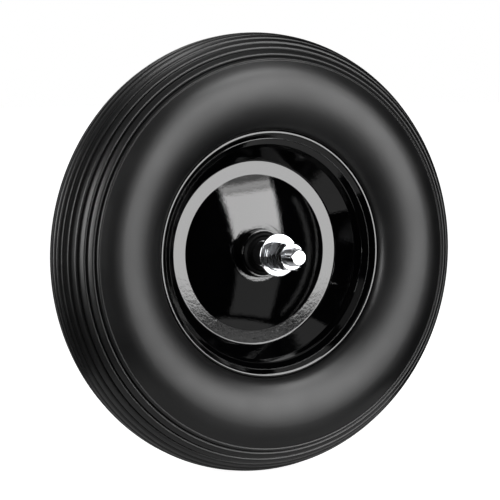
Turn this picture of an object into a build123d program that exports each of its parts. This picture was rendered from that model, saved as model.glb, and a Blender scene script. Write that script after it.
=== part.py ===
from build123d import *
from math import cos, pi, radians, sin, sqrt, tan
import os

# Wheelbarrow wheel, in millimetres. The origin is the middle of the wheel, the
# axle lies along Y, the front is at -Y and Z is up. Front and rear are alike.
# A section is drawn with the radius across and the distance from the middle
# plane, towards the front, upwards.

# Tyre
tyre_diameter = 400.0
crown_radius = 46.85
tread_groove_count = 12
tread_pitch_angle = 10.2
groove_width = 2.6
groove_depth = 2.6
groove_overshoot = 1.5
tyre_fit = 0.1
foot_setback = 1.0
foot_proud = 0.67
foot_round = 0.8

# Rim pressing
rim_sheet = 1.6
dome_rise = 8.7
well_depth = 14.7
weld_ring_width = 12.8
well_fold_run = 3.9
well_fold_offset = 8.0
seat_fold_run = 0.5
seat_fold_offset = 17.0
bead_seat_radius = 98.8
flange_offset = 27.2
flange_height = 6.2
lip_width = 7.0
lip_flat = 0.4
lip_wall = 0.2
lip_skirt = 0.4
flange_bend = 3.0
flange_root_bend = 1.6
well_bend = 3.0
ring_bend = 2.4
dome_bend = 2.5
collar_bend = 3.5
collar_end_offset = 3.4

# Hub tube
hub_wall = 1.8
hub_step = 1.6
hub_half_length = 18.5
hub_edge_round = 0.7

# Ball bearings
bearing_width = 12.0
bearing_recess = 1.5
inner_race_wall = 3.9
race_gap = 4.7
outer_race_wall = 3.4
ball_count = 8
ball_radius = 3.35
ball_clearance = 0.12
cage_thickness = 2.9
cage_width = 8.6
seal_thickness = 0.9
seal_seat_depth = 0.7
seal_gap = 0.3

# Dust covers
cover_sheet = 1.2
cover_ridge_margin = 0.4
cover_ridge_width = 4.2
cover_ridge_height = 2.2
cover_bend = 0.75
cover_gap = 0.4

# Axle and what is stacked on it
axle_radius = 7.95
axle_end_length = 12.7
axle_end_chamfer = 1.2
thread_depth = 1.5
sleeve_wall = 3.0
sleeve_bore_gap = 0.05
spacer_length = 28.0
large_washer_radius = 19.2
large_washer_thickness = 2.0
large_washer_round = 0.6
lock_washer_radius = 13.7
lock_washer_thickness = 3.3
lock_washer_slit = 1.6
lock_washer_slit_angle = 20.0
washer_bore_gap = 0.35
nut_sides = 6
nut_across_flats = 24.0
nut_height = 13.0
jam_nut_height = 8.0
nut_bore_gap = 0.05
nut_countersink = 0.8
nut_chamfer_angle = 30.0
nut_face_share = 0.95
nut_turn = -6.0
jam_nut_turn = -3.0

# Radii worked out from the sizes above, from the axle outwards
sleeve_bore = axle_radius + sleeve_bore_gap
sleeve_radius = sleeve_bore + sleeve_wall
inner_shoulder_radius = sleeve_bore + inner_race_wall
outer_shoulder_radius = inner_shoulder_radius + race_gap
bearing_outer_radius = outer_shoulder_radius + outer_race_wall
hub_radius = bearing_outer_radius + hub_wall
pitch_radius = (inner_shoulder_radius + outer_shoulder_radius) / 2
groove_radius = ball_radius + ball_clearance
thread_mesh_radius = axle_radius - thread_depth / 2
weld_ring_outer_radius = bead_seat_radius - well_depth
weld_ring_inner_radius = weld_ring_outer_radius - weld_ring_width
lip_inner_radius = bead_seat_radius + flange_height
lip_outer_radius = lip_inner_radius + lip_width
lip_roll = (lip_width - lip_flat) / 2
crown_centre = tyre_diameter / 2 - crown_radius

# Distances from the middle plane
lip_crest_offset = flange_offset + flange_root_bend + lip_wall + lip_roll
lip_end_offset = lip_crest_offset - lip_roll - lip_skirt
dome_run = weld_ring_inner_radius ** 2 - hub_radius ** 2
dome_centre_offset = rim_sheet + dome_rise / 2 - dome_run / (2 * dome_rise)
dome_radius = sqrt(weld_ring_inner_radius ** 2 + (rim_sheet - dome_centre_offset) ** 2)
bearing_outer_offset = hub_half_length - bearing_recess
bearing_inner_offset = bearing_outer_offset - bearing_width
bearing_middle_offset = bearing_outer_offset - bearing_width / 2
large_washer_offset = bearing_outer_offset + spacer_length
lock_washer_offset = large_washer_offset + large_washer_thickness
nut_offset = lock_washer_offset + lock_washer_thickness
jam_nut_offset = nut_offset + nut_height
nut_stack_offset = jam_nut_offset + jam_nut_height
axle_half_length = nut_stack_offset + axle_end_length

section = Plane(origin=(0, 0, 0), x_dir=(1, 0, 0), z_dir=(0, 0, -1))

os.makedirs("parts", exist_ok=True)


def save(piece, name):
    """Label a finished piece and write it under its own name."""
    piece.part.label = name
    export_step(piece.part, f"parts/{name}.step")


def save_pair(front, name):
    """Write a front piece, and the same piece turned round for the rear."""
    save(front, f"{name}_front")
    with BuildPart() as rear:
        add(front.part, rotation=(0, 0, 180))
    save(rear, f"{name}_rear")


def dome_height(radius, depth=0.0):
    """Height of the domed disc over the middle plane, depth below its outside."""
    return dome_centre_offset + sqrt((dome_radius - depth) ** 2 - radius ** 2)


def dome_reach(depth):
    """Radius at which the dome, depth below its outside, meets the ring there."""
    return sqrt((dome_radius - depth) ** 2 - (rim_sheet - depth - dome_centre_offset) ** 2)


def rim_path(depth):
    """Corners and bends of the rim outside the dome, depth below its outside.

    Each corner moves square to both of its sides, so that the sheet keeps one
    thickness, and each bend grows or shrinks with it.
    """
    corners = [
        Vector(weld_ring_inner_radius, rim_sheet),
        Vector(weld_ring_outer_radius, rim_sheet),
        Vector(weld_ring_outer_radius + well_fold_run, well_fold_offset),
        Vector(bead_seat_radius - seat_fold_run, seat_fold_offset),
        Vector(bead_seat_radius, flange_offset),
        Vector(lip_inner_radius, flange_offset),
        Vector(lip_inner_radius, lip_crest_offset),
        Vector(lip_outer_radius, lip_crest_offset),
        Vector(lip_outer_radius, lip_end_offset),
    ]
    bends = [ring_bend, well_bend, well_bend, flange_bend, flange_root_bend, lip_roll, lip_roll]
    sides = [(b - a).normalized() for a, b in zip(corners, corners[1:])]
    normals = [Vector(side.Y, -side.X) for side in sides]
    moved = [Vector(dome_reach(depth), rim_sheet - depth)]
    radii = []
    for corner, before, after, bend in zip(corners[1:-1], normals, normals[1:], bends):
        moved.append(corner + (before + after) * (depth / (1 + before.dot(after))))
        turns_inward = before.X * after.Y - before.Y * after.X < 0
        radii.append(bend - depth if turns_inward else bend + depth)
    moved.append(corners[-1] + normals[-1] * depth)
    return moved, radii


def at(sketch, x, y):
    """Corner of a sketch nearest to a place in the section."""
    return sketch.vertices().sort_by(lambda v: (v.X - x) ** 2 + (v.Y - y) ** 2)[0]


# Tyre: crown arc, two longer sidewall arcs, and a plain bore on the bead seats
foot_radius = lip_outer_radius + foot_setback
foot_offset = lip_crest_offset + foot_proud
lip_clear_radius = lip_outer_radius + tyre_fit
bead_face_offset = flange_offset - rim_sheet - tyre_fit
bead_bore_radius = bead_seat_radius + rim_sheet + tyre_fit
bead_corner = flange_bend - rim_sheet

with BuildPart() as tyre:
    with BuildSketch(section):
        with BuildLine():
            CenterArc((crown_centre, 0), crown_radius, -90, 180)
            for side in (1, -1):
                TangentArc(
                    (crown_centre, side * crown_radius),
                    (foot_radius, side * foot_offset),
                    tangent=(-1, 0),
                )
                Polyline(
                    (foot_radius, side * foot_offset),
                    (lip_clear_radius, side * (foot_offset - foot_round)),
                    (lip_clear_radius, side * bead_face_offset),
                    (bead_bore_radius + bead_corner, side * bead_face_offset),
                    (bead_bore_radius, side * (bead_face_offset - bead_corner)),
                    (bead_bore_radius, 0),
                )
        make_face()
        for index in range(tread_groove_count):
            angle = (index - (tread_groove_count - 1) / 2) * tread_pitch_angle
            across = crown_radius * sin(radians(angle))
            place = (crown_centre + crown_radius * cos(radians(angle)), across)
            wide = groove_width / 2 * (1 + groove_overshoot / groove_depth)
            with Locations(Location(place, angle)):
                Polygon(
                    (-groove_depth, 0),
                    (groove_overshoot, -wide),
                    (groove_overshoot, wide),
                    align=None,
                    mode=Mode.SUBTRACT,
                )
    revolve(axis=Axis.Y)
save(tyre, "tyre")

# Rim: two alike pressings, welded back to back on the flat ring
with BuildPart() as rim_half:
    with BuildSketch(section) as rim_section:
        with BuildLine():
            for depth in (0, rim_sheet):
                corners, radii = rim_path(depth)
                FilletPolyline(*corners, radius=radii)
                hub_end = hub_radius + depth
                hub_end_height = dome_height(hub_end, depth)
                RadiusArc((hub_end, hub_end_height), corners[0], dome_radius - depth)
                Line((hub_end, hub_end_height), (hub_end, collar_end_offset))
            Line((hub_radius, collar_end_offset), (hub_radius + rim_sheet, collar_end_offset))
            Line(
                (lip_outer_radius, lip_end_offset),
                (lip_outer_radius - rim_sheet, lip_end_offset),
            )
        make_face()
        for depth in (0, rim_sheet):
            hub_end = hub_radius + depth
            ring_fold = at(rim_section, dome_reach(depth), rim_sheet - depth)
            fillet(ring_fold, dome_bend + depth)
            collar_fold = at(rim_section, hub_end, dome_height(hub_end, depth))
            fillet(collar_fold, collar_bend - depth)
    revolve(axis=Axis.Y)
save_pair(rim_half, "rim_half")

# Hub tube, counterbored for a bearing at each end
hub_middle_bore_radius = bearing_outer_radius - hub_step
with BuildPart() as hub_tube:
    with BuildSketch(section):
        with BuildLine():
            Polyline(
                (hub_middle_bore_radius, -bearing_inner_offset),
                (bearing_outer_radius, -bearing_inner_offset),
                (bearing_outer_radius, -hub_half_length),
                (hub_radius, -hub_half_length),
                (hub_radius, hub_half_length),
                (bearing_outer_radius, hub_half_length),
                (bearing_outer_radius, bearing_inner_offset),
                (hub_middle_bore_radius, bearing_inner_offset),
                close=True,
            )
        make_face()
    revolve(axis=Axis.Y)
    fillet(hub_tube.edges().group_by(Axis.Y)[0].sort_by(SortBy.RADIUS)[-1], hub_edge_round)
    fillet(hub_tube.edges().group_by(Axis.Y)[-1].sort_by(SortBy.RADIUS)[-1], hub_edge_round)
save(hub_tube, "hub_tube")

# Outer race, with a seat for a seal at each side
seal_seat_radius = outer_shoulder_radius + seal_seat_depth
with BuildPart() as outer_race:
    with BuildSketch(section):
        with BuildLine():
            Polyline(
                (outer_shoulder_radius, bearing_inner_offset + seal_thickness),
                (seal_seat_radius, bearing_inner_offset + seal_thickness),
                (seal_seat_radius, bearing_inner_offset),
                (bearing_outer_radius, bearing_inner_offset),
                (bearing_outer_radius, bearing_outer_offset),
                (seal_seat_radius, bearing_outer_offset),
                (seal_seat_radius, bearing_outer_offset - seal_thickness),
                (outer_shoulder_radius, bearing_outer_offset - seal_thickness),
                close=True,
            )
        make_face()
        with Locations((pitch_radius, bearing_middle_offset)):
            Circle(groove_radius, mode=Mode.SUBTRACT)
    revolve(axis=Axis.Y)
save_pair(outer_race, "bearing_outer_race")

# Inner race
with BuildPart() as inner_race:
    with BuildSketch(section):
        with Locations((sleeve_bore + inner_race_wall / 2, bearing_middle_offset)):
            Rectangle(inner_race_wall, bearing_width)
        with Locations((pitch_radius, bearing_middle_offset)):
            Circle(groove_radius, mode=Mode.SUBTRACT)
    revolve(axis=Axis.Y)
save_pair(inner_race, "bearing_inner_race")

# Balls, and the cage that spaces them
with BuildPart() as balls:
    with Locations(Plane.XZ.offset(bearing_middle_offset)):
        with PolarLocations(pitch_radius, ball_count):
            Sphere(ball_radius)
save_pair(balls, "bearing_balls")

with BuildPart() as cage:
    with BuildSketch(section):
        with Locations((pitch_radius, bearing_middle_offset)):
            Rectangle(cage_thickness, cage_width)
    revolve(axis=Axis.Y)
    with Locations(Plane.XZ.offset(bearing_middle_offset)):
        with PolarLocations(pitch_radius, ball_count):
            Cylinder(groove_radius, 2 * cage_thickness, rotation=(0, 90, 0), mode=Mode.SUBTRACT)
save_pair(cage, "bearing_cage")

# Seals, seated in the outer race and clear of the inner one
seal_inner_radius = inner_shoulder_radius + seal_gap
seal_middle_radius = (seal_inner_radius + seal_seat_radius) / 2
for place, direction in (("outer", 1), ("inner", -1)):
    seal_offset = bearing_middle_offset + direction * (bearing_width - seal_thickness) / 2
    with BuildPart() as seal:
        with BuildSketch(section):
            with Locations((seal_middle_radius, seal_offset)):
                Rectangle(seal_seat_radius - seal_inner_radius, seal_thickness)
        revolve(axis=Axis.Y)
    save_pair(seal, f"bearing_seal_{place}")

# Dust cover, pressed into the tube end against the bearing, with a raised ridge
cover_seat = bearing_outer_offset
cover_top = cover_seat + cover_sheet
ridge_top = cover_top + cover_ridge_height
cover_inner_radius = sleeve_radius + cover_gap
ridge_outer_radius = bearing_outer_radius - cover_ridge_margin
ridge_inner_radius = ridge_outer_radius - cover_ridge_width
with BuildPart() as dust_cover:
    with BuildSketch(section):
        with BuildLine():
            FilletPolyline(
                (cover_inner_radius, cover_top),
                (ridge_inner_radius, cover_top),
                (ridge_inner_radius + cover_ridge_height / 2, ridge_top),
                (ridge_outer_radius - cover_ridge_height / 2, ridge_top),
                (bearing_outer_radius, cover_top),
                radius=cover_bend,
            )
            Polyline(
                (bearing_outer_radius, cover_top),
                (bearing_outer_radius, cover_seat),
                (cover_inner_radius, cover_seat),
                (cover_inner_radius, cover_top),
            )
        make_face()
    revolve(axis=Axis.Y)
save_pair(dust_cover, "dust_cover")

# Axle rod: where a nut sits, the two threads mesh, and both are drawn half a
# thread deep. The thread past the nuts has its full outer radius.
with BuildPart() as axle:
    with BuildSketch(section):
        with BuildLine():
            Polyline(
                (0, 0),
                (axle_radius, 0),
                (axle_radius, nut_offset),
                (thread_mesh_radius, nut_offset),
                (thread_mesh_radius, nut_stack_offset),
                (axle_radius, nut_stack_offset + thread_depth / 2),
                (axle_radius, axle_half_length - axle_end_chamfer),
                (axle_radius - axle_end_chamfer, axle_half_length),
                (0, axle_half_length),
                close=True,
            )
        make_face()
        mirror(about=Plane.XZ)
    revolve(axis=Axis.Y)
save(axle, "axle")

# Sleeves: one between the inner races, and one out to each large washer
with BuildPart() as distance_sleeve:
    with BuildSketch(Plane.XZ):
        Circle(sleeve_radius)
        Circle(sleeve_bore, mode=Mode.SUBTRACT)
    extrude(amount=bearing_inner_offset, both=True)
save(distance_sleeve, "bearing_distance_sleeve")

with BuildPart() as spacer_sleeve:
    with BuildSketch(Plane.XZ.offset(bearing_outer_offset)):
        Circle(sleeve_radius)
        Circle(sleeve_bore, mode=Mode.SUBTRACT)
    extrude(amount=spacer_length)
save_pair(spacer_sleeve, "spacer_sleeve")

# Washers
washer_bore = axle_radius + washer_bore_gap
with BuildPart() as large_washer:
    with BuildSketch(Plane.XZ.offset(large_washer_offset)):
        Circle(large_washer_radius)
        Circle(washer_bore, mode=Mode.SUBTRACT)
    extrude(amount=large_washer_thickness)
    rims = large_washer.edges().filter_by(GeomType.CIRCLE).group_by(SortBy.RADIUS)[-1]
    fillet(rims, large_washer_round)
save_pair(large_washer, "large_washer")

slit_middle_offset = lock_washer_offset + lock_washer_thickness / 2
slit_length = 4 * lock_washer_thickness
with BuildPart() as lock_washer:
    with BuildSketch(Plane.XZ.offset(lock_washer_offset)):
        Circle(lock_washer_radius)
        Circle(washer_bore, mode=Mode.SUBTRACT)
    extrude(amount=lock_washer_thickness)
    slit_place = Location((lock_washer_radius, -slit_middle_offset, 0), (lock_washer_slit_angle, 0, 0))
    with Locations(slit_place):
        Box(lock_washer_radius, slit_length, lock_washer_slit, mode=Mode.SUBTRACT)
save_pair(lock_washer, "lock_washer")


# Nuts, with the corners of both faces turned off and the bore countersunk
def hexagon_nut(offset, height, turn):
    """Hexagon nut that starts at a distance from the middle plane."""
    corner = nut_across_flats / 2 / cos(pi / nut_sides)
    face = nut_across_flats / 2 * nut_face_share
    drop = (corner - face) * tan(radians(nut_chamfer_angle))
    bore = thread_mesh_radius + nut_bore_gap
    sink = axle_radius + nut_countersink
    with BuildPart() as nut:
        with BuildSketch(Plane.XZ.offset(offset)):
            RegularPolygon(corner, nut_sides, rotation=turn)
        extrude(amount=height)
        with BuildSketch(section):
            Polygon(
                (bore, offset + sink - bore),
                (sink, offset),
                (face, offset),
                (corner, offset + drop),
                (corner, offset + height - drop),
                (face, offset + height),
                (sink, offset + height),
                (bore, offset + height - sink + bore),
                align=None,
            )
        revolve(axis=Axis.Y, mode=Mode.INTERSECT)
    return nut


save_pair(hexagon_nut(nut_offset, nut_height, nut_turn), "axle_nut")
save_pair(hexagon_nut(jam_nut_offset, jam_nut_height, jam_nut_turn), "jam_nut")
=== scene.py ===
import math

import bmesh
import bpy
import numpy as np
from mathutils import Matrix, Vector


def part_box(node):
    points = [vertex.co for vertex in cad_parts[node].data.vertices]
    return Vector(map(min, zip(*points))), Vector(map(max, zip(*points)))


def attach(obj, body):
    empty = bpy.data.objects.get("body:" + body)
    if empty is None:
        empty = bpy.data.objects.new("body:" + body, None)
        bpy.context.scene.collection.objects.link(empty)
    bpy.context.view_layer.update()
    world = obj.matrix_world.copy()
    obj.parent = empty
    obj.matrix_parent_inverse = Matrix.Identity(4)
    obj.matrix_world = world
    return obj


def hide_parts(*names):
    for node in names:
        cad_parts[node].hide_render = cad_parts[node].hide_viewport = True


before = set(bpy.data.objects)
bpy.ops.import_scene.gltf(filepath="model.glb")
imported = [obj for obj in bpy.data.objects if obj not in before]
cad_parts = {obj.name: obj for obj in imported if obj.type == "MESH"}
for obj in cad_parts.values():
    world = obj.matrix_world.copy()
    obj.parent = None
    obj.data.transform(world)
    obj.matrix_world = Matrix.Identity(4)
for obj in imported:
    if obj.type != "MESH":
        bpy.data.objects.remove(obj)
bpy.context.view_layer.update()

# Wheelbarrow wheel, in metres. The origin is the middle of the wheel, the axle
# lies along Y, the front is at -Y and Z is up. A section is drawn with the
# radius first and the distance from the middle plane second, front positive.

# Sizes read from the frame
tyre_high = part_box("tyre")[1]
rim_low, rim_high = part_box("rim_half_front")
hub_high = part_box("hub_tube")[1]
cover_low, cover_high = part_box("dust_cover_front")
sleeve_low, sleeve_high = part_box("spacer_sleeve_front")
washer_low, washer_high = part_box("large_washer_front")
spring_low, spring_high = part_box("lock_washer_front")
nut_low, nut_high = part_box("axle_nut_front")
jam_low, jam_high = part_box("jam_nut_front")
axle_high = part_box("axle")[1]

# How finely the pieces are drawn: steps round the axle, then steps along a section
tyre_turns = 208
rim_turns = 256
hub_turns = 160
washer_turns = 160
cover_turns = 128
spring_turns = 121
sleeve_turns = 96
rod_turns = 96
crown_steps = 46
edge_steps = 13
wall_steps = 49
dome_steps = 36
thread_steps = 14

# Largest angle, in degrees, at which two faces still shade as one surface
plain_crease = 32.0
tyre_crease = 50.0
rim_crease = 40.0
rod_crease = 40.0
nut_crease = 20.0

# Tyre
tyre_radius = tyre_high.z
crown_radius = tyre_high.y
crown_centre = tyre_radius - crown_radius
groove_count = 12
groove_pitch = math.radians(10.2)
groove_half_width = 0.00135
groove_depth = 0.0027
groove_lip_round = 0.55
groove_places = np.array([0.0, 0.2, 0.45, 0.7, 0.85, 1.0, 1.15, 1.35, 1.7, 2.3])
tread_edge_angle = math.radians(61.0)
tread_edge_step = 0.0009
tread_edge_width = 0.0005
tread_edge_steepness = 4.0
shoulder_end_angle = math.radians(78.0)
foot_radius = 0.1123
foot_offset = 0.0315
foot_round = 0.0005
tyre_bore = 0.1005
bead_radius = 0.1062
bead_offset = 0.0260
bead_end_offset = 0.0220

# Rim pressing
sheet = 0.0016
lip_radius = rim_high.x
lip_crest = -rim_low.y
weld_ring_inner = 0.0713
weld_ring_outer = 0.0841
ring_flat_inset = (0.0006, 0.0015)
seat_fold = (0.0968, 0.0165)
bead_seat_radius = 0.0988
seat_end_offset = 0.0246
lip_bead = (0.1044, 0.0283)
lip_bead_size = 0.00035
lip_crest_radius = 0.1088
lip_end_offset = lip_crest - 0.0037
dome_fold_round = 0.0025
ring_fold_round = 0.0024
seat_fold_round = 0.0030
lip_bead_round = 0.0001
lip_fold_round = 0.0030
lip_edge_round = 0.0014
dome_rise = 0.0087
weld_foot = 0.0275
weld_grain_end = 0.0268
weld_run = 0.0013
weld_bend = 0.018
weld_throat = 0.0005
weld_throat_round = 0.0003
weld_toe_round = 0.0002
collar_end = 0.0034

# Hub and axle
hub_radius = hub_high.x
hub_half_length = hub_high.y
bearing_radius = cover_high.x
hub_middle_bore = 0.0184
hub_edge_round = 0.0004
bearing_inner_offset = 0.0050
cover_seat = -cover_high.y
cover_sheet = 0.0012
cover_bore = 0.0114
ridge_inner = 0.0154
ridge_outer = 0.0196
ridge_slope = 0.0011
ridge_round = 0.00075
ridge_foot_round = 0.0003
cover_bore_round = 0.0001
cover_edge_round = 0.00005
axle_radius = axle_high.x
axle_end = axle_high.y
axle_chamfer = 0.0017
sleeve_radius = sleeve_high.x
sleeve_bore = axle_radius + 0.00005
sleeve_edge_round = 0.0003
washer_bore = axle_radius + 0.00035
washer_edge_round = 0.0006
thread_pitch = 0.0020
thread_depth = 0.00123
thread_start = -nut_high.y
thread_steepness = 1.35
thread_crest_share = 0.16
nut_across_flats = 0.024
nut_corner_round = 0.0008
nut_face_radius = 0.0114
nut_chamfer = math.radians(30.0)
nut_sink_radius = 0.00875
nut_turn = math.radians(-6.0)
jam_nut_turn = math.radians(-3.0)

# The spring washer is drawn 0.8 mm past its solid, so that its face shows
# round the nut as a bright ring
spring_reach = 0.0145
slit_width = 0.0016
slit_lean = math.radians(20.0)


def bend_path(corners, radii, steps=8):
    """Points of a path whose inner corners are rounded.

    Each arc touches both sides of its corner at radius / tan(half the angle
    between the sides), about a centre at radius / sin(half) on the bisector.
    A corner without a radius stays as it is.
    """
    corners = np.asarray(corners, float)
    points = [corners[:1]]
    for before, corner, after, radius in zip(corners, corners[1:], corners[2:], radii):
        if radius == 0.0:
            points.append(corner[None])
            continue
        back = (before - corner) / np.linalg.norm(before - corner)
        on = (after - corner) / np.linalg.norm(after - corner)
        half = math.acos(np.clip(back @ on, -1.0, 1.0)) / 2
        middle = (back + on) / np.linalg.norm(back + on)
        centre = corner + middle * radius / math.sin(half)
        start = corner + back * radius / math.tan(half) - centre
        end = corner + on * radius / math.tan(half) - centre
        share = np.linspace(0.0, 1.0, steps + 1)[:, None]
        turn = math.pi - 2 * half
        arc = (np.sin((1 - share) * turn) * start + np.sin(share * turn) * end) / math.sin(turn)
        points.append(centre + arc)
    points.append(corners[-1:])
    return np.concatenate(points)


def round_loop(corners, radii, steps=5):
    """Closed section with every corner rounded by its own radius."""
    corners = np.asarray(corners, float)
    middle = (corners[0] + corners[-1]) / 2
    path = np.concatenate([[middle], corners, [middle]])
    return bend_path(path, radii, steps)[:-1]


def offset_path(points, depth):
    """Path moved square to itself, to the right of its direction."""
    points = np.asarray(points, float)
    sides = np.diff(points, axis=0)
    sides /= np.linalg.norm(sides, axis=1)[:, None]
    normals = np.stack([sides[:, 1], -sides[:, 0]], 1)
    before = np.vstack([normals[:1], normals])
    after = np.vstack([normals, normals[-1:]])
    spread = 1 + np.sum(before * after, axis=1)
    return points + (before + after) * (depth / spread)[:, None]


def skin(name, grid, wrap_rows=True, crease=plain_crease):
    """Object whose mesh joins neighbouring points of a rows by columns grid.

    Columns always close on themselves, rows only when asked. Points that fall
    together, at a pole or a cap, are merged, and the faces look outwards.
    """
    rows, columns = grid.shape[:2]
    row = np.arange(rows if wrap_rows else rows - 1)[:, None]
    column = np.arange(columns)[None, :]
    next_row = (row + 1) % rows
    next_column = (column + 1) % columns
    corners = [
        row * columns + column,
        row * columns + next_column,
        next_row * columns + next_column,
        next_row * columns + column,
    ]
    quads = np.stack(corners, -1).reshape(-1, 4)
    mesh = bpy.data.meshes.new(name)
    mesh.vertices.add(rows * columns)
    mesh.vertices.foreach_set("co", grid.astype(np.float32).reshape(-1))
    mesh.loops.add(quads.size)
    mesh.loops.foreach_set("vertex_index", quads.reshape(-1).astype(np.int32))
    mesh.polygons.add(len(quads))
    mesh.polygons.foreach_set("loop_start", np.arange(0, quads.size, 4, dtype=np.int32))
    mesh.update(calc_edges=True)
    shape = bmesh.new()
    shape.from_mesh(mesh)
    bmesh.ops.remove_doubles(shape, verts=shape.verts, dist=1e-7)
    bmesh.ops.recalc_face_normals(shape, faces=shape.faces)
    shape.to_mesh(mesh)
    shape.free()
    mesh.polygons.foreach_set("use_smooth", np.ones(len(mesh.polygons), bool))
    mesh.set_sharp_from_angle(angle=math.radians(crease))
    piece = bpy.data.objects.new(name, mesh)
    bpy.context.scene.collection.objects.link(piece)
    return piece


def revolve(name, section, turns, rear=False, crease=plain_crease):
    """Section turned round the axle: x = r cos t, z = r sin t, y = -distance."""
    turn = np.linspace(0.0, 2 * math.pi, turns, endpoint=False)
    radius = section[:, 0][:, None]
    along = -section[:, 1][:, None] * (-1.0 if rear else 1.0)
    grid = np.stack([radius * np.cos(turn), along + 0 * turn, radius * np.sin(turn)], -1)
    return skin(name, grid, True, crease)


def place(piece, body, slot, material, *nodes):
    """Give a piece its finish and its body, and hide the CAD nodes it stands for."""
    piece.data.materials.clear()
    piece.data.materials.append(material)
    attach(piece, body)
    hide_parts(*nodes)


class Number:
    """A socket that holds a number, with Math nodes for the usual operators."""

    def __init__(self, finish, socket):
        self.finish = finish
        self.socket = socket

    def math(self, operation, *others):
        """Result of a Math node whose first value is this one."""
        values = {index: other for index, other in enumerate((self, *others))}
        settings = {"operation": operation}
        return self.finish.node("ShaderNodeMath", settings, values)

    def __add__(self, other):
        return self.math("ADD", other)

    def __mul__(self, other):
        return self.math("MULTIPLY", other)

    __radd__ = __add__
    __rmul__ = __mul__


class Finish:
    """One material, with a method that adds any node to it."""

    def __init__(self, name):
        self.material = bpy.data.materials.new(name)
        self.material.use_nodes = True
        self.tree = self.material.node_tree
        self.shader = self.tree.nodes["Principled BSDF"]
        self.place = self.node("ShaderNodeTexCoord", output="Object")

    def node(self, kind, settings=None, sockets=None, output=0):
        """New node: its settings first, then values or links of its sockets."""
        made = self.tree.nodes.new(kind)
        for key, value in (settings or {}).items():
            setattr(made, key, value)
        for key, value in (sockets or {}).items():
            self.feed(made.inputs[key], value)
        return Number(self, made.outputs[output])

    def feed(self, socket, value):
        """Link a Number to a socket, or set the socket to a plain value."""
        if isinstance(value, Number):
            self.tree.links.new(value.socket, socket)
        else:
            socket.default_value = value

    def ramp(self, factor, stops):
        """Colour or number that follows stops of (position, value)."""
        made = self.tree.nodes.new("ShaderNodeValToRGB")
        while len(made.color_ramp.elements) < len(stops):
            made.color_ramp.elements.new(0.5)
        for element, (position, value) in zip(made.color_ramp.elements, stops):
            element.position = position
            element.color = (*value, 1.0) if isinstance(value, tuple) else (value, value, value, 1.0)
        self.feed(made.inputs["Fac"], factor)
        return Number(self, made.outputs["Color"])

    def noise(self, scale, detail, roughness):
        """Noise in the piece's own space, with so many lumps to the metre."""
        sockets = {"Vector": self.place, "Scale": scale, "Detail": detail, "Roughness": roughness}
        return self.node("ShaderNodeTexNoise", None, sockets)

    def radius(self):
        """Distance from the axle."""
        split = self.tree.nodes.new("ShaderNodeSeparateXYZ")
        self.feed(split.inputs[0], self.place)
        x, z = (Number(self, split.outputs[index]) for index in (0, 2))
        return (x * x + z * z).math("SQRT")

    def bump(self, height, distance):
        """Normal of a surface raised by height times distance, in metres."""
        sockets = {"Height": height, "Distance": distance, "Strength": 1.0}
        return self.node("ShaderNodeBump", None, sockets)

    def set(self, **sockets):
        """Feed the surface shader, an underscore standing for each space."""
        for key, value in sockets.items():
            self.feed(self.shader.inputs[key.replace("_", " ")], value)


def grey(level):
    return (level, level, level, 1.0)


def tyre_rubber():
    """Matt moulded foam skin: cloudy charcoal, with a fine grain."""
    finish = Finish("tyre_rubber")
    clouds = finish.noise(22.0, 3.0, 0.6)
    grain = finish.noise(900.0, 2.0, 0.6)
    shade = clouds * 0.7 + grain * 0.3
    colour = finish.ramp(shade, [(0.3, (0.0030, 0.0030, 0.0031)), (0.7, (0.0048, 0.0048, 0.0050))])
    rough = finish.ramp(clouds, [(0.3, 0.34), (0.7, 0.39)])
    skin_height = grain * 0.6 + finish.noise(2600.0, 1.0, 0.5) * 0.4
    finish.set(Base_Color=colour, Roughness=rough, Normal=finish.bump(skin_height, 0.00004))
    finish.set(Specular_IOR_Level=0.4)
    return finish.material


def rim_paint():
    """Gloss black coat with a light orange peel, rougher on the weld by the hub.

    The weld's grain fades out between two distances from the axle. The ramp
    takes them times twenty, so that they span more of its length.
    """
    spread = 20.0
    finish = Finish("rim_paint")
    peel = finish.noise(180.0, 1.0, 0.5)
    fine = finish.noise(420.0, 3.0, 0.7)
    dust = finish.noise(1400.0, 0.0, 0.5)
    rough = finish.ramp(dust, [(0.0, 0.02), (1.0, 0.045)])
    colour = finish.ramp(peel, [(0.0, (0.0004, 0.0004, 0.0005)), (1.0, (0.0008, 0.0008, 0.0009))])
    fading = [(weld_grain_end * spread, 1.0), (weld_foot * spread, 0.0)]
    near_weld = finish.ramp(finish.radius() * spread, fading)
    height = peel * 0.3 + fine * (0.45 + near_weld * 1.6)
    finish.set(Base_Color=colour, Roughness=rough, Normal=finish.bump(height, 0.00007))
    return finish.material


def zinc_plate():
    """Bright zinc plate, with faint turning marks and a cloudy passivation."""
    finish = Finish("zinc_plate")
    clouds = finish.noise(300.0, 3.0, 0.6)
    marks = (finish.radius() * 9000.0 + clouds * 6.0).math("SINE")
    colour = finish.ramp(clouds, [(0.3, (0.62, 0.63, 0.65)), (0.7, (0.80, 0.81, 0.83))])
    rough = finish.ramp(clouds, [(0.3, 0.13), (0.7, 0.20)])
    height = marks * 0.5 + finish.noise(2500.0, 2.0, 0.6)
    finish.set(Base_Color=colour, Roughness=rough, Metallic=1.0, Normal=finish.bump(height, 0.000014))
    return finish.material


def plain_finish(name, dark, light, rough, scale, height, metallic=0.0, shine=0.5):
    """Moulded or ground surface: a cloudy tone, cloudy gloss and a fine grain."""
    finish = Finish(name)
    clouds = finish.noise(scale, 3.0, 0.6)
    grain = finish.noise(scale * 12.0, 1.0, 0.5)
    colour = finish.ramp(clouds, [(0.3, dark), (0.7, light)])
    gloss = finish.ramp(clouds, [(0.3, rough[0]), (0.7, rough[1])])
    normal = finish.bump(grain, height)
    finish.set(Base_Color=colour, Roughness=gloss, Metallic=metallic, Normal=normal)
    finish.set(Specular_IOR_Level=shine)
    return finish.material


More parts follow.
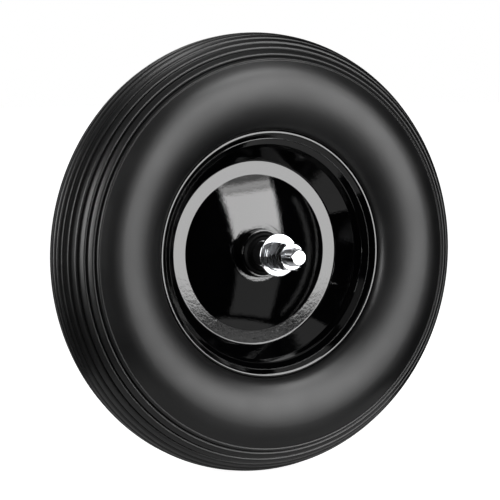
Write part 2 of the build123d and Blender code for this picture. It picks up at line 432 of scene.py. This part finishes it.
rubber = tyre_rubber()
paint = rim_paint()
zinc = zinc_plate()
bearing_steel = plain_finish(
    "bearing_steel", (0.52, 0.53, 0.55), (0.64, 0.65, 0.67), (0.18, 0.28), 220.0, 0.000004,
    metallic=1.0,
)
cage_nylon = plain_finish(
    "cage_nylon", (0.13, 0.10, 0.06), (0.18, 0.14, 0.08), (0.45, 0.55), 260.0, 0.00001
)
seal_rubber = plain_finish(
    "seal_rubber", (0.016, 0.016, 0.016), (0.024, 0.024, 0.024), (0.55, 0.65), 400.0, 0.00001
)
cover_satin = plain_finish(
    "cover_satin", (0.0008, 0.0008, 0.0009), (0.0014, 0.0014, 0.0015), (0.50, 0.60), 320.0, 0.000006,
    shine=0.12,
)
sleeve_matt = plain_finish(
    "sleeve_matt", (0.0014, 0.0014, 0.0015), (0.0024, 0.0024, 0.0025), (0.55, 0.68), 380.0, 0.00002,
    shine=0.25,
)


def tyre_section():
    """Half the tyre's section, from the middle of the crown to the bore.

    The crown is an arc about its centre, lowered at each groove by the depth
    times (s + sqrt(s^2 + k^2)) / 2, where s falls from 1 at the groove's middle
    through 0 at its edge, so that k rounds both lips; what is left of it far
    past the lips, depth times k^2 / 4 over the distance, is taken off. Past the
    tread's edge the shoulder steps down and rises again to the sidewall, a
    quarter of an ellipse that ends beside the rim's lip.
    """
    near = groove_places * groove_half_width / crown_radius
    first = -(groove_count - 1) / 2 * groove_pitch
    grooves = first + groove_pitch * np.arange(groove_count)
    angles = np.concatenate([(grooves[:, None] + side * near).ravel() for side in (-1, 1)])
    edge = tread_edge_angle + np.linspace(-2.5, 2.5, edge_steps) * tread_edge_width / crown_radius
    rest = np.linspace(0.0, math.pi / 2, crown_steps)
    angles = np.unique(np.round(np.concatenate([angles, edge, rest]), 5))
    angles = angles[(angles >= 0.0) & (angles <= math.pi / 2)]
    reach = np.abs(angles[:, None] - grooves) * crown_radius / groove_half_width
    fall = 1 - reach
    sink = np.sum(groove_depth * (fall + np.sqrt(fall ** 2 + groove_lip_round ** 2)) / 2, axis=1)
    far = np.sum(groove_depth * groove_lip_round ** 2 / 4 / np.maximum(reach - 1, 1.0), axis=1)
    sink -= np.minimum(sink, far)
    past = (angles - tread_edge_angle) * crown_radius / tread_edge_width
    step = 1 / (1 + np.exp(-past * tread_edge_steepness))
    fade = np.clip((shoulder_end_angle - angles) / (shoulder_end_angle - tread_edge_angle), 0.0, 1.0)
    sink += tread_edge_step * step * fade * fade * (3 - 2 * fade)
    radius = crown_radius - sink
    crown = np.stack([crown_centre + radius * np.cos(angles), radius * np.sin(angles)], 1)
    across = crown_centre - foot_radius
    drop = crown_radius - foot_offset
    sweep = np.linspace(0.0, math.pi / 2, wall_steps)[1:]
    wall = np.stack([crown_centre - across * np.sin(sweep), foot_offset + drop * np.cos(sweep)], 1)
    foot = bend_path(
        [
            wall[-1],
            (foot_radius, bead_offset),
            (bead_radius, bead_offset),
            (tyre_bore, bead_end_offset),
            (tyre_bore, 0.0),
        ],
        [foot_round] * 3,
        4,
    )
    return np.concatenate([crown, wall, foot[1:]])


def make_tyre():
    """Half section and its mirror image, turned round the axle."""
    half = tyre_section()
    mirrored = half[1:-1][::-1] * (1.0, -1.0)
    section = np.concatenate([half, mirrored])
    piece = revolve("ribbed_tyre", section, tyre_turns, crease=tyre_crease)
    place(piece, "wheel", "tyre_foam", rubber, "tyre")


def rim_section():
    """Closed section of one pressing: its outside, and the same path one sheet deeper.

    The dome is an arc that falls by its rise from the hub tube to the flat weld
    ring. The outside starts with the weld bead that joins the dome to the tube.
    It leaves the dome along its tangent, with slope r / (height above the
    centre), and bends flat before it meets the tube.
    """
    run = weld_ring_inner ** 2 - hub_radius ** 2
    centre = sheet + dome_rise / 2 - run / (2 * dome_rise)
    dome_radius = math.hypot(weld_ring_inner, sheet - centre)
    radii = np.linspace(weld_foot, weld_ring_inner, dome_steps)
    dome = np.stack([radii, centre + np.sqrt(dome_radius ** 2 - radii ** 2)], 1)
    slope = dome[0, 0] / (dome[0, 1] - centre)
    crest = dome[0] + (-weld_run, weld_run * slope)
    weld = bend_path(
        [
            (hub_radius, collar_end),
            (hub_radius, crest[1] - weld_throat),
            (hub_radius + weld_throat, crest[1]),
            crest,
            dome[0],
        ],
        [weld_toe_round, weld_throat_round, weld_bend],
        8,
    )[:-1]
    fold = bend_path(
        [
            dome[-3],
            (weld_ring_inner, sheet),
            (weld_ring_inner + ring_flat_inset[0], sheet),
            (weld_ring_outer - ring_flat_inset[1], sheet),
            (weld_ring_outer, sheet),
            seat_fold,
            (bead_seat_radius, seat_end_offset),
            (lip_bead[0] - lip_bead_size, lip_bead[1] - lip_bead_size / 2),
            (lip_bead[0], lip_bead[1] + lip_bead_size),
            (lip_bead[0] + lip_bead_size, lip_bead[1] + lip_bead_size / 2),
            (lip_crest_radius, lip_crest),
            (lip_radius, lip_crest),
            (lip_radius, lip_end_offset),
        ],
        [
            dome_fold_round,
            0.0,
            0.0,
            ring_fold_round,
            seat_fold_round,
            seat_fold_round,
            lip_bead_round,
            lip_bead_round,
            lip_bead_round,
            lip_fold_round,
            lip_edge_round,
        ],
        12,
    )
    outside = np.concatenate([weld, dome[:-3], fold])
    inside = offset_path(outside, sheet)
    return np.concatenate([outside, inside[::-1]])


def make_rim():
    """Two alike pressings, back to back at the middle plane."""
    section = rim_section()
    for side, rear in (("front", False), ("rear", True)):
        piece = revolve(f"rim_pressing_{side}", section, rim_turns, rear, rim_crease)
        place(piece, "wheel", "rim_paint", paint, f"rim_half_{side}")


def make_hub():
    """Tube with a bearing seat bored into each end, mirrored about its middle."""
    half = bend_path(
        [
            (hub_radius, 0.0),
            (hub_radius, hub_half_length),
            (bearing_radius, hub_half_length),
            (bearing_radius, bearing_inner_offset),
            (hub_middle_bore, bearing_inner_offset),
            (hub_middle_bore, 0.0),
        ],
        [hub_edge_round, hub_edge_round / 2, hub_edge_round / 4, hub_edge_round / 4],
        6,
    )
    section = np.concatenate([half, half[1:-1][::-1] * (1.0, -1.0)])
    piece = revolve("hub_barrel", section, hub_turns)
    place(piece, "wheel", "rim_paint", paint, "hub_tube")


def make_cover(side, rear):
    """Pressed cover: a flat ring with one raised ridge near its rim."""
    top = cover_seat + cover_sheet
    ridge = -cover_low.y
    section = round_loop(
        [
            (cover_bore, cover_seat),
            (cover_bore, top),
            (ridge_inner, top),
            (ridge_inner + ridge_slope, ridge),
            (ridge_outer - ridge_slope, ridge),
            (bearing_radius, top),
            (bearing_radius, cover_seat),
        ],
        [
            cover_bore_round,
            ridge_foot_round,
            ridge_round,
            ridge_round,
            ridge_round,
            cover_edge_round,
            cover_edge_round,
        ],
    )
    piece = revolve(f"bearing_cover_{side}", section, cover_turns, rear)
    place(piece, "wheel", "cover_plastic", cover_satin, f"dust_cover_{side}")


def ring_section(inner, outer, low, high, edge):
    """Upright rectangle whose bore corners are rounded a third as much as its rim's."""
    corners = [(inner, low), (inner, high), (outer, high), (outer, low)]
    return round_loop(corners, [edge / 3, edge / 3, edge, edge])


def make_sleeve(side, rear):
    """Rectangle turned round the axle."""
    low, high = -sleeve_high.y, -sleeve_low.y
    section = ring_section(sleeve_bore, sleeve_radius, low, high, sleeve_edge_round)
    piece = revolve(f"sleeve_{side}", section, sleeve_turns, rear)
    place(piece, "axle_set", "sleeve_plastic", sleeve_matt, f"spacer_sleeve_{side}")


def make_large_washer(side, rear):
    """Rectangle turned round the axle."""
    low, high = -washer_high.y, -washer_low.y
    section = ring_section(washer_bore, washer_high.x, low, high, washer_edge_round)
    piece = revolve(f"flat_washer_{side}", section, washer_turns, rear)
    place(piece, "axle_set", "zinc_plate", zinc, f"large_washer_{side}")


def make_spring_washer(side, rear):
    """Split ring: its section is carried from one side of the slit to the other.

    Each point turns on by its height above the middle times the tangent of the
    slit's lean, over its radius, so that the slit slants. The first and last
    rows are single points, which cap the ends.
    """
    low, high = -spring_high.y, -spring_low.y
    section = ring_section(washer_bore, spring_reach, low, high, washer_edge_round)
    cap = np.tile(section.mean(axis=0), (len(section), 1))
    rows = np.concatenate([[cap], [section] * spring_turns, [cap]])
    gap = slit_width / 2 / section[:, 0].mean()
    turns = np.linspace(gap, 2 * math.pi - gap, spring_turns)
    turns = np.concatenate([turns[:1], turns, turns[-1:]])
    lean = (rows[..., 1] - (low + high) / 2) * math.tan(slit_lean) / rows[..., 0]
    turn = turns[:, None] + lean
    sign = 1.0 if rear else -1.0
    radius, height = rows[..., 0], rows[..., 1]
    grid = np.stack([radius * np.cos(turn) * -sign, height * sign, radius * np.sin(turn)], -1)
    piece = skin(f"spring_washer_{side}", grid, False)
    place(piece, "axle_set", "zinc_plate", zinc, f"lock_washer_{side}")


def make_nut(name, node, box, turn, side, rear):
    """Hexagon with rounded corners, cut by a cone at each face.

    Round the outline h is the distance from the axle. The cone leaves the face
    at its radius f and meets the side at a depth of (h - f) tan(30 degrees).
    """
    low, high = -box[1].y, -box[0].y
    corner = nut_across_flats / 2 / math.cos(math.pi / 6)
    angles = turn + np.arange(6) * math.pi / 3
    hexagon = np.stack([corner * np.cos(angles), corner * np.sin(angles)], 1)
    outline = round_loop(hexagon, [nut_corner_round] * 6, 4)
    steps = [np.linspace(a, b, 5)[:-1] for a, b in zip(outline, np.roll(outline, -1, axis=0))]
    outline = np.concatenate(steps)
    reach = np.linalg.norm(outline, axis=1)
    way = outline / reach[:, None]
    depth = (reach - nut_face_radius) * math.tan(nut_chamfer)
    bore = axle_radius - thread_depth
    flat = np.ones_like(reach)
    sink = nut_sink_radius - bore
    levels = [
        (flat * bore, flat * (low + sink)),
        (flat * nut_sink_radius, flat * low),
        (flat * nut_face_radius, flat * low),
        (reach, low + depth),
        (reach, high - depth),
        (flat * nut_face_radius, flat * high),
        (flat * nut_sink_radius, flat * high),
        (flat * bore, flat * (high - sink)),
    ]
    sign = 1.0 if rear else -1.0
    grid = np.stack(
        [np.stack([-sign * way[:, 0] * r, sign * d, way[:, 1] * r], -1) for r, d in levels]
    )
    piece = skin(f"{name}_{side}", grid, True, nut_crease)
    place(piece, "axle_set", "zinc_plate", zinc, f"{node}_{side}")


def make_rod():
    """Rod with a helical thread at both ends.

    The radius falls below the rod's by a triangle wave of the phase
    (distance / pitch - turn / 2 pi), flattened at crest and root, faded in where
    the thread starts, and kept under a 45 degree cone at each end.
    """
    turn = np.linspace(0.0, 2 * math.pi, rod_turns, endpoint=False)[None, :]
    fine = np.arange(thread_start, axle_end - 1e-6, thread_pitch / thread_steps)
    ends = [axle_end - axle_chamfer, axle_end, axle_end + 1e-9]
    along = np.sort(np.concatenate([fine, ends]))
    along = np.concatenate([-along[::-1], along])[:, None]
    reach = np.abs(along)
    phase = (along / thread_pitch - turn / (2 * math.pi)) % 1.0
    wave = np.clip(np.abs(phase * 2 - 1) * thread_steepness - thread_crest_share, 0.0, 1.0)
    fade = np.clip((reach - thread_start) / thread_pitch, 0.0, 1.0)
    radius = axle_radius - thread_depth * wave * fade
    radius = np.minimum(radius, axle_radius + axle_end - axle_chamfer - reach)
    radius[0] = 0.0
    radius[-1] = 0.0
    along = np.clip(along, -axle_end, axle_end)
    grid = np.stack([radius * np.cos(turn), along + 0 * turn, radius * np.sin(turn)], -1)
    piece = skin("threaded_axle", grid, False, rod_crease)
    place(piece, "axle_set", "zinc_plate", zinc, "axle")


make_tyre()
make_rim()
make_hub()
make_rod()
for side, rear in (("front", False), ("rear", True)):
    make_cover(side, rear)
    make_sleeve(side, rear)
    make_large_washer(side, rear)
    make_spring_washer(side, rear)
    make_nut("hexagon_nut", "axle_nut", (nut_low, nut_high), nut_turn, side, rear)
    make_nut("thin_nut", "jam_nut", (jam_low, jam_high), jam_nut_turn, side, rear)

# Finishes of the CAD nodes that stay, hidden inside the hub
inner_finishes = {
    "bearing_inner_race": bearing_steel,
    "bearing_outer_race": bearing_steel,
    "bearing_balls": bearing_steel,
    "bearing_cage": cage_nylon,
    "bearing_seal_outer": seal_rubber,
    "bearing_seal_inner": seal_rubber,
    "bearing_distance_sleeve": bearing_steel,
}
for node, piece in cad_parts.items():
    for start, material in inner_finishes.items():
        if node.startswith(start):
            for slot in piece.material_slots:
                slot.material = material

# Camera, at the photograph's viewing angle. It is moved sideways and up, so that
# the wheel's middle falls on its pixel in the picture without any lens shift
focal_pixels = 3135.7
picture_pixels = 500
sensor_width = 36.0
view_distance = 2.8586
view_azimuth = math.radians(-28.53)
view_elevation = math.radians(3.83)
centre_pixel = (254.0, 252.2)

back = Vector(
    (
        math.sin(view_azimuth) * math.cos(view_elevation),
        -math.cos(view_azimuth) * math.cos(view_elevation),
        math.sin(view_elevation),
    )
)
right = Vector((math.cos(view_azimuth), math.sin(view_azimuth), 0.0))
up = back.cross(right)
camera_data = bpy.data.cameras.new("camera")
camera_data.lens = focal_pixels * sensor_width / picture_pixels
camera_data.sensor_width = sensor_width
camera_data.clip_end = 60.0
camera = bpy.data.objects.new("camera", camera_data)
bpy.context.scene.collection.objects.link(camera)
pixel = view_distance / focal_pixels
aside = (centre_pixel[0] - picture_pixels / 2) * pixel
below = (centre_pixel[1] - picture_pixels / 2) * pixel
spot = back * view_distance - right * aside + up * below
camera.matrix_world = Matrix(
    (
        (right.x, up.x, back.x, spot.x),
        (right.y, up.y, back.y, spot.y),
        (right.z, up.z, back.z, spot.z),
        (0.0, 0.0, 0.0, 1.0),
    )
)
bpy.context.scene.camera = camera
bpy.context.scene.view_settings.view_transform = "Standard"


def direction(azimuth, elevation):
    """Unit vector from the wheel, azimuth 0 to the front and 90 to +X."""
    a, e = math.radians(azimuth), math.radians(elevation)
    return Vector((math.sin(a) * math.cos(e), -math.cos(a) * math.cos(e), math.sin(e)))


card_distance = 1.75
card_step = 6.0


def card(name, rows, radiance, distance=card_distance, lamp=True, lift=0.002):
    """Lit or dark card, given as rows of (elevation, first azimuth, last azimuth).

    Each corner lies in its direction from the wheel, at the given distance, or
    nearer where it would otherwise pass through the floor: there it lies just
    above the floor, by the lift. The camera never sees a card. A lamp lights
    everything, and any other card is seen only in reflections.
    """
    columns = 2 + int(max(abs(last - first) for _, first, last in rows) / card_step)
    points = []
    for elevation, first, last in rows:
        reach = distance
        if elevation < 0.0:
            reach = min(distance, (tyre_radius - lift) / math.sin(math.radians(-elevation)))
        points += [direction(azimuth, elevation) * reach for azimuth in np.linspace(first, last, columns)]
    faces = [
        (row * columns + i, row * columns + i + 1, (row + 1) * columns + i + 1, (row + 1) * columns + i)
        for row in range(len(rows) - 1)
        for i in range(columns - 1)
    ]
    mesh = bpy.data.meshes.new(name)
    mesh.from_pydata(points, [], faces)
    board = bpy.data.objects.new(name, mesh)
    bpy.context.scene.collection.objects.link(board)
    glow = Finish(name)
    glow.set(Base_Color=grey(0.0), Emission_Color=grey(1.0), Emission_Strength=radiance)
    glow.set(Specular_IOR_Level=0.0)
    mesh.materials.append(glow.material)
    board.visible_camera = False
    if not lamp:
        board.visible_diffuse = False
        board.visible_shadow = False


card("key_softbox", [(-6.4, 18.0, 39.3), (20.1, 12.6, 38.5)], 10.0)
card("key_seam", [(20.1, 12.6, 38.5), (20.7, 12.5, 38.4)], 1.2)
card("key_step", [(20.7, 12.5, 38.4), (23.5, 11.9, 38.3)], 6.0)
card("key_gap", [(23.5, 11.9, 38.3), (27.0, 11.2, 38.5)], 1.5)
card("key_top", [(27.0, 11.2, 38.5), (46.0, 8.0, 40.0)], 11.0)
card("key_skirt", [(-10.0, 17.6, 39.5), (-8.65, 17.8, 39.4)], 2.6, lamp=False)
card("low_board", [(-35.0, 13.4, 40.6), (-23.7, 15.8, 40.0), (-10.0, 17.5, 39.6)], 0.45, lamp=False)
card("left_softbox", [(-6.0, -72.0, -56.5), (27.0, -72.0, -56.5)], 12.5)
card("left_wing", [(-6.0, -86.0, -72.0), (27.0, -86.0, -72.0)], 4.0)
card("fill_board", [(12.0, -34.0, -4.0), (38.0, -34.0, -4.0)], 0.2, lamp=False)
card("rear_softbox", [(46.0, 168.0, 192.0), (72.0, 168.0, 192.0)], 4.0)

# A narrow reflector that stands to the right of the softbox and bows outwards:
# its azimuth falls with the square of the height above or below its middle
bow_azimuth = 54.0
bow_middle = -7.0
bow_bend = 0.0115
bow_half_width = 0.8
bow_distance = 1.6
bow_rises = np.linspace(-31.0, 15.0, 16)
bow_middles = bow_azimuth - bow_bend * (bow_rises - bow_middle) ** 2
bow_rows = np.stack([bow_rises, bow_middles - bow_half_width, bow_middles + bow_half_width], 1)
card("bowed_reflector", bow_rows, 0.55, bow_distance, lamp=False)

# Cloths and boards that close the studio round the wheel. Each wall goes on
# over the floor from where it meets it, just under the other cards
studio_distance = 4.2
studio_foot = -2.7
studio_near = -38.0
studio_top = 60.0
studio_lift = 0.001
for name, first, last, radiance in (("front", -150.0, 150.0, 0.0), ("rear", 150.0, 210.0, 0.3)):
    kind = "cloth" if radiance == 0.0 else "board"
    wall = [(studio_foot, first, last), (studio_top, first, last)]
    ground = [(studio_near, first, last), (studio_foot, first, last)]
    card(f"{name}_{kind}", wall, radiance, studio_distance, lamp=False)
    card(f"{name}_floor_{kind}", ground, radiance, studio_distance, lamp=False, lift=studio_lift)
ceiling = [(studio_top, -180.0, 180.0), (89.9, -180.0, 180.0)]
card("ceiling", ceiling, 0.45, studio_distance, lamp=False)

# World: white to the camera and to what mirrors it, a soft fill for the rest
fill_strength = 0.15
world = bpy.data.worlds.new("studio")
bpy.context.scene.world = world
world.use_nodes = True
tree = world.node_tree
background = tree.nodes["Background"]
background.inputs["Color"].default_value = (1.0, 1.0, 1.0, 1.0)
rays = tree.nodes.new("ShaderNodeLightPath")
mirrored = tree.nodes.new("ShaderNodeMath")
mirrored.operation = "MAXIMUM"
tree.links.new(rays.outputs["Is Glossy Ray"], mirrored.inputs[0])
tree.links.new(rays.outputs["Is Transmission Ray"], mirrored.inputs[1])
seen = tree.nodes.new("ShaderNodeMath")
seen.operation = "MAXIMUM"
tree.links.new(rays.outputs["Is Camera Ray"], seen.inputs[0])
tree.links.new(mirrored.outputs[0], seen.inputs[1])
strength = tree.nodes.new("ShaderNodeMapRange")
strength.inputs["To Min"].default_value = fill_strength
strength.inputs["To Max"].default_value = 1.0
tree.links.new(seen.outputs[0], strength.inputs["Value"])
tree.links.new(strength.outputs[0], background.inputs["Strength"])

# Floor, at the foot of the tyre: near white where it shines by itself, so that
# the light that falls on it makes it white and the wheel's shadow stays pale
floor_half = 14.0
shade_reach = 1.2
shade_strength = 0.93
mirror_share = 0.08
floor_mesh = bpy.data.meshes.new("floor")
floor_corners = [(-1, -1), (1, -1), (1, 1), (-1, 1)]
floor_points = [(x * floor_half, y * floor_half, -tyre_radius) for x, y in floor_corners]
floor_mesh.from_pydata(floor_points, [], [(0, 1, 2, 3)])
floor = bpy.data.objects.new("floor", floor_mesh)
bpy.context.scene.collection.objects.link(floor)
paper = Finish("floor_paper")
away = paper.node("ShaderNodeVectorMath", {"operation": "LENGTH"}, {0: paper.place}, "Value")
near = {"Value": away, "From Max": shade_reach, "To Min": shade_strength, "To Max": 1.0}
own_light = paper.node("ShaderNodeMapRange", None, near)
by_camera = paper.node("ShaderNodeLightPath", output="Is Camera Ray")
by_glass = paper.node("ShaderNodeLightPath", output="Is Transmission Ray")
by_mirror = paper.node("ShaderNodeLightPath", output="Is Glossy Ray")
by_eye = by_camera.math("MAXIMUM", by_glass)
paper.set(Base_Color=grey(0.5), Roughness=0.9, Emission_Color=grey(1.0))
paper.set(Emission_Strength=own_light * by_eye.math("MAXIMUM", by_mirror * mirror_share))
floor_mesh.materials.append(paper.material)
